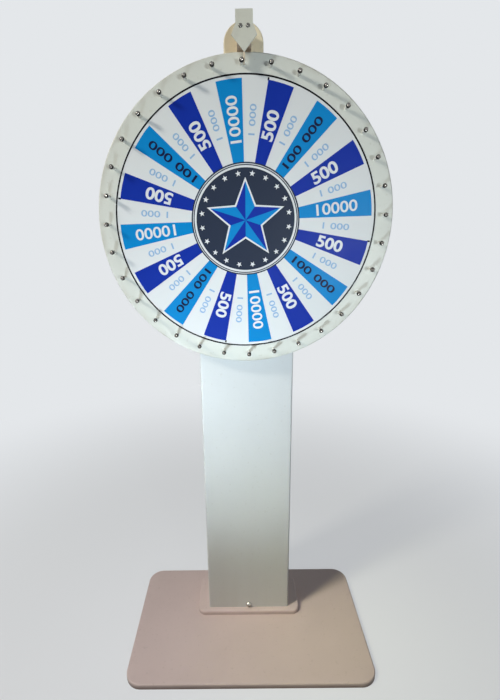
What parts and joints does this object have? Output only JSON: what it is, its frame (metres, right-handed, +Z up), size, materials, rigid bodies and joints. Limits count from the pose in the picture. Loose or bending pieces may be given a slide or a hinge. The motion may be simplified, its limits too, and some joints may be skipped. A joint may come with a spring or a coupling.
{
  "type": "prize wheel",
  "caption": "Floor-standing prize wheel: a printed round board with rim pegs spins on a bearing shaft in a box column, and a flapper under the pointer clicks on the pegs.",
  "frame": {"origin": "middle of the base board's underside", "axes": "+X to the right seen from the wheel's face, +Y to the back, +Z up"},
  "size_m": [0.8, 0.47, 1.88],
  "materials": {
    "base_paint": "warm off-white satin paint on board",
    "white_paint": "white satin paint on board",
    "raw_wood": "bare planed softwood",
    "zinc_steel": "zinc-plated steel",
    "turned_steel": "turned and ground steel",
    "bright_chrome": "polished chrome plate",
    "brass": "plain turned brass",
    "grey_casting": "grey painted casting",
    "hub_aluminium": "turned aluminium",
    "white_film": "white printed film",
    "azure_film": "azure printed film",
    "royal_film": "royal blue printed film",
    "black_film": "black printed film",
    "navy_film": "dark navy printed film",
    "white_nylon": "white nylon rod",
    "hardwood": "dark oiled hardwood",
    "pointer_plastic": "pale grey sheet plastic",
    "leather": "pale undyed leather"
  },
  "bodies": {
    "stand": {"base_board": "base_paint", "collar_plate": "base_paint", "plug_block": "raw_wood", "base_screws": "zinc_steel", "plug_inserts": "brass", "foot_bolts": "bright_chrome", "column_front_panel": "white_paint", "column_back_panel": "white_paint", "column_left_side": "white_paint", "column_right_side": "white_paint", "corner_battens": "raw_wood", "column_top_cap": "white_paint", "panel_screws": "zinc_steel", "front_bearing_housing": "grey_casting", "front_bearing_outer_ring": "turned_steel", "rear_bearing_housing": "grey_casting", "rear_bearing_outer_ring": "turned_steel", "bearing_circlips": "zinc_steel", "bearing_bolts": "bright_chrome", "bearing_nuts": "zinc_steel", "pointer_post": "white_paint", "post_screws": "zinc_steel", "pointer_block": "hardwood", "block_screws": "zinc_steel", "pointer_plate": "pointer_plastic", "pointer_screws": "bright_chrome", "flapper_pin": "zinc_steel"},
    "wheel": {"wheel_board": "white_paint", "face_print": "white_film", "azure_sectors": "azure_film", "royal_sectors": "royal_film", "border_line": "black_film", "medallion_disc": "navy_film", "medallion_rings": "navy_film", "peg_posts": "white_nylon", "peg_caps": "bright_chrome", "peg_screws": "zinc_steel", "hub_flange": "hub_aluminium", "hub_screws": "bright_chrome", "hub_set_screw": "zinc_steel", "hub_spacer": "turned_steel", "shaft": "turned_steel", "front_bearing_inner_ring": "turned_steel", "rear_bearing_inner_ring": "turned_steel", "lock_collar": "turned_steel", "lock_collar_screw": "zinc_steel"},
    "front_ball_set": {"front_bearing_balls": "turned_steel", "front_bearing_cage": "brass"},
    "rear_ball_set": {"rear_bearing_balls": "turned_steel", "rear_bearing_cage": "brass"},
    "flapper": {"flapper": "leather"}
  },
  "joints": [
    {"name": "wheel_spin", "type": "hinge", "parent": "stand", "child": "wheel", "pos_m": [0, 0, 1.389], "axis": [0, 1, 0], "continuous": true},
    {"name": "front_balls_orbit", "type": "hinge", "parent": "stand", "child": "front_ball_set", "pos_m": [0, 0.058, 1.389], "axis": [0, 1, 0], "continuous": true},
    {"name": "rear_balls_orbit", "type": "hinge", "parent": "stand", "child": "rear_ball_set", "pos_m": [0, 0.175, 1.389], "axis": [0, 1, 0], "continuous": true},
    {"name": "flapper_flex", "type": "hinge", "parent": "stand", "child": "flapper", "pos_m": [0, -0.0295, 1.794], "axis": [0, 1, 0], "range_deg": [-45, 45], "stiffness_Nm_per_rad": 0.1, "deforming": ["flapper"]}
  ],
  "couplings": [
    {"joint": "front_balls_orbit", "follows": "wheel_spin", "ratio": 0.3806},
    {"joint": "rear_balls_orbit", "follows": "wheel_spin", "ratio": 0.3806}
  ]
}
